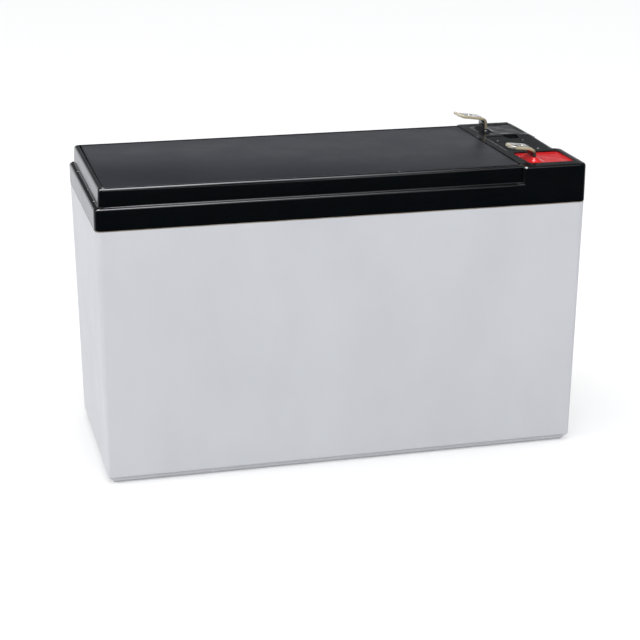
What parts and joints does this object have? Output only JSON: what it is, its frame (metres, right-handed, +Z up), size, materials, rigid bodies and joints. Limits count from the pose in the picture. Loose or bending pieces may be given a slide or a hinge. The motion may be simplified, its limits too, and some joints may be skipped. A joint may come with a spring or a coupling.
{
  "type": "battery",
  "caption": "Sealed rechargeable lead battery block with a stepped lid, a vent cover and bent push-on tabs at one end.",
  "frame": {"origin": "centre of the foot, on the floor that the battery stands on", "axes": "+X along the length towards the terminal end, -Y towards the side of the positive tab, +Z up"},
  "size_m": [0.151, 0.065, 0.0978],
  "materials": {
    "container_plastic": "light grey moulded plastic, satin",
    "cover_plastic": "black moulded plastic, glossy",
    "vent_cover_plastic": "black plastic with a fine matt grain",
    "adhesive": "set brownish adhesive",
    "tab_metal": "tin-plated, satin, warm at the cut edges",
    "red_resin": "poured red resin, satin",
    "black_resin": "poured black resin, glossy",
    "rubber": "black rubber",
    "lead": "cast lead alloy",
    "positive_plate": "dark brown lead dioxide paste on a lead grid",
    "negative_plate": "grey spongy lead on a lead grid",
    "glass_mat": "white glass-fibre mat"
  },
  "bodies": {
    "root": {"cell_1_negative_plates": "negative_plate", "cell_1_negative_strap": "lead", "cell_1_positive_plates": "positive_plate", "cell_1_positive_strap": "lead", "cell_1_separators": "glass_mat", "cell_2_negative_plates": "negative_plate", "cell_2_negative_strap": "lead", "cell_2_positive_plates": "positive_plate", "cell_2_positive_strap": "lead", "cell_2_separators": "glass_mat", "cell_3_negative_plates": "negative_plate", "cell_3_negative_strap": "lead", "cell_3_positive_plates": "positive_plate", "cell_3_positive_strap": "lead", "cell_3_separators": "glass_mat", "cell_4_negative_plates": "negative_plate", "cell_4_negative_strap": "lead", "cell_4_positive_plates": "positive_plate", "cell_4_positive_strap": "lead", "cell_4_separators": "glass_mat", "cell_5_negative_plates": "negative_plate", "cell_5_negative_strap": "lead", "cell_5_positive_plates": "positive_plate", "cell_5_positive_strap": "lead", "cell_5_separators": "glass_mat", "cell_6_negative_plates": "negative_plate", "cell_6_negative_strap": "lead", "cell_6_positive_plates": "positive_plate", "cell_6_positive_strap": "lead", "cell_6_separators": "glass_mat", "container": "container_plastic", "cover": "cover_plastic", "cover_adhesive": "adhesive", "negative_post": "lead", "negative_post_ring": "rubber", "negative_resin": "black_resin", "negative_tab": "tab_metal", "partition_weld_1": "lead", "partition_weld_2": "lead", "partition_weld_3": "lead", "partition_weld_4": "lead", "partition_weld_5": "lead", "positive_post": "lead", "positive_post_ring": "rubber", "positive_resin": "red_resin", "positive_tab": "tab_metal", "valve_cap_1": "rubber", "valve_cap_2": "rubber", "valve_cap_3": "rubber", "valve_cap_4": "rubber", "valve_cap_5": "rubber", "valve_cap_6": "rubber", "vent_cover": "vent_cover_plastic"}
  },
  "joints": []
}
